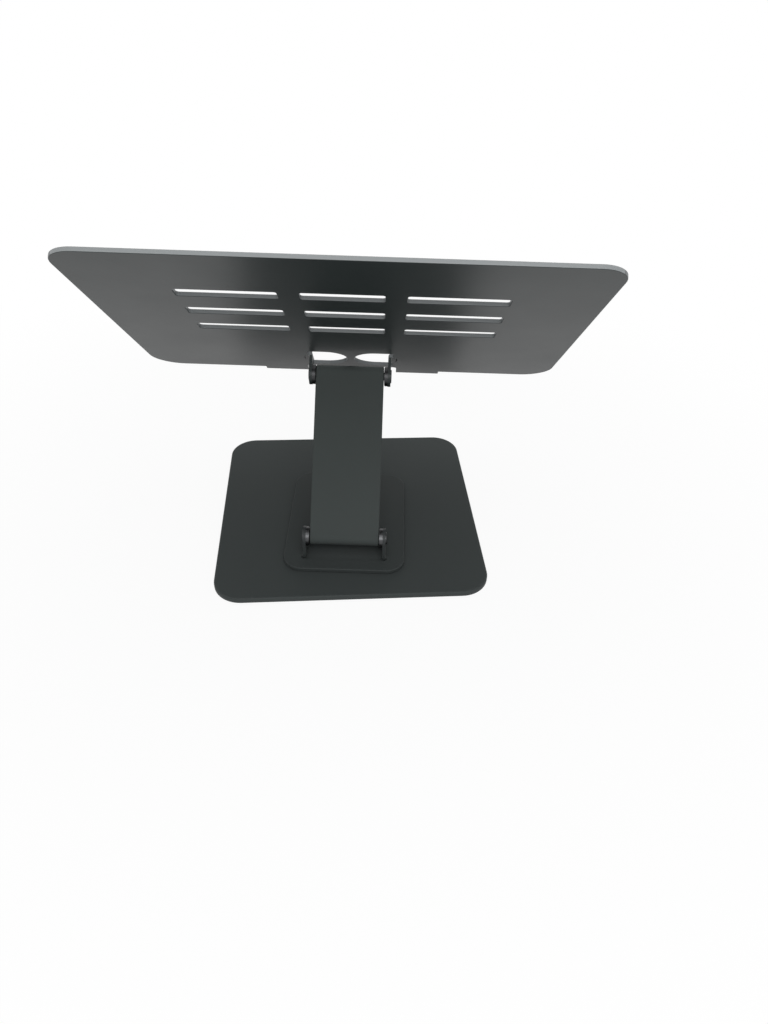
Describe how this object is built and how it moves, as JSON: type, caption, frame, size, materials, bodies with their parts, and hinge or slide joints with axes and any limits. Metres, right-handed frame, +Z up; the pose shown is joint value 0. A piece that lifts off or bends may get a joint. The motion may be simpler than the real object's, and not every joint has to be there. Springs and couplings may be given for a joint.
{
  "type": "laptop stand",
  "caption": "Folding laptop stand: a slotted tray with two front lips on a two-hinge arm, over a flat base that it turns on.",
  "frame": {"origin": "on the table under the swivel axis, at the middle of the base", "axes": "+X across the tray, +Y towards the tray's lips, +Z up"},
  "size_m": [0.28, 0.1916, 0.2264],
  "materials": {
    "base_paint": "satin charcoal powder coat on steel",
    "bracket_paint": "satin charcoal powder coat on steel",
    "arm_paint": "satin charcoal coat on aluminium",
    "tray_paint": "satin charcoal coat on aluminium",
    "foot_rubber": "matt",
    "pad_silicone": "matt",
    "bush_nylon": "matt",
    "cover_plastic": "matt",
    "pin_steel": "turned, black oxide",
    "washer_steel": "pressed, black oxide"
  },
  "bodies": {
    "base": {"base_plate": "base_paint", "foot_rear_left": "foot_rubber", "foot_front_left": "foot_rubber", "foot_rear_right": "foot_rubber", "foot_front_right": "foot_rubber", "swivel_bush": "bush_nylon", "underside_cover": "cover_plastic"},
    "turntable": {"swivel_bracket": "bracket_paint", "swivel_post": "washer_steel", "swivel_washer": "washer_steel", "swivel_spring": "washer_steel", "swivel_nut": "washer_steel", "lower_hinge_pin": "pin_steel", "lower_hinge_cap": "pin_steel", "lower_washer_left": "washer_steel", "lower_washer_right": "washer_steel", "lower_spring_left": "washer_steel", "lower_spring_right": "washer_steel"},
    "arm": {"arm": "arm_paint", "lower_bush_left": "bush_nylon", "lower_bush_right": "bush_nylon", "upper_bush_left": "bush_nylon", "upper_bush_right": "bush_nylon"},
    "tray": {"tray_panel": "tray_paint", "lip_sleeve_left": "pad_silicone", "lip_sleeve_right": "pad_silicone", "tray_pad_rear": "pad_silicone", "tray_pad_left": "pad_silicone", "tray_pad_right": "pad_silicone", "upper_hinge_pin": "pin_steel", "upper_hinge_cap": "pin_steel", "upper_washer_left": "washer_steel", "upper_washer_right": "washer_steel", "upper_spring_left": "washer_steel", "upper_spring_right": "washer_steel"}
  },
  "joints": [
    {"name": "base_swivel", "type": "hinge", "parent": "base", "child": "turntable", "pos_m": [0, 0, 0.0052], "axis": [0, 0, 1], "continuous": true},
    {"name": "arm_hinge", "type": "hinge", "parent": "turntable", "child": "arm", "pos_m": [0, -0.0497, 0.02], "axis": [1, 0, 0], "range_deg": [-33, 18]},
    {"name": "tray_hinge", "type": "hinge", "parent": "arm", "child": "tray", "pos_m": [0, 0.02741, 0.09985], "axis": [1, 0, 0], "range_deg": [-12, 71]}
  ]
}
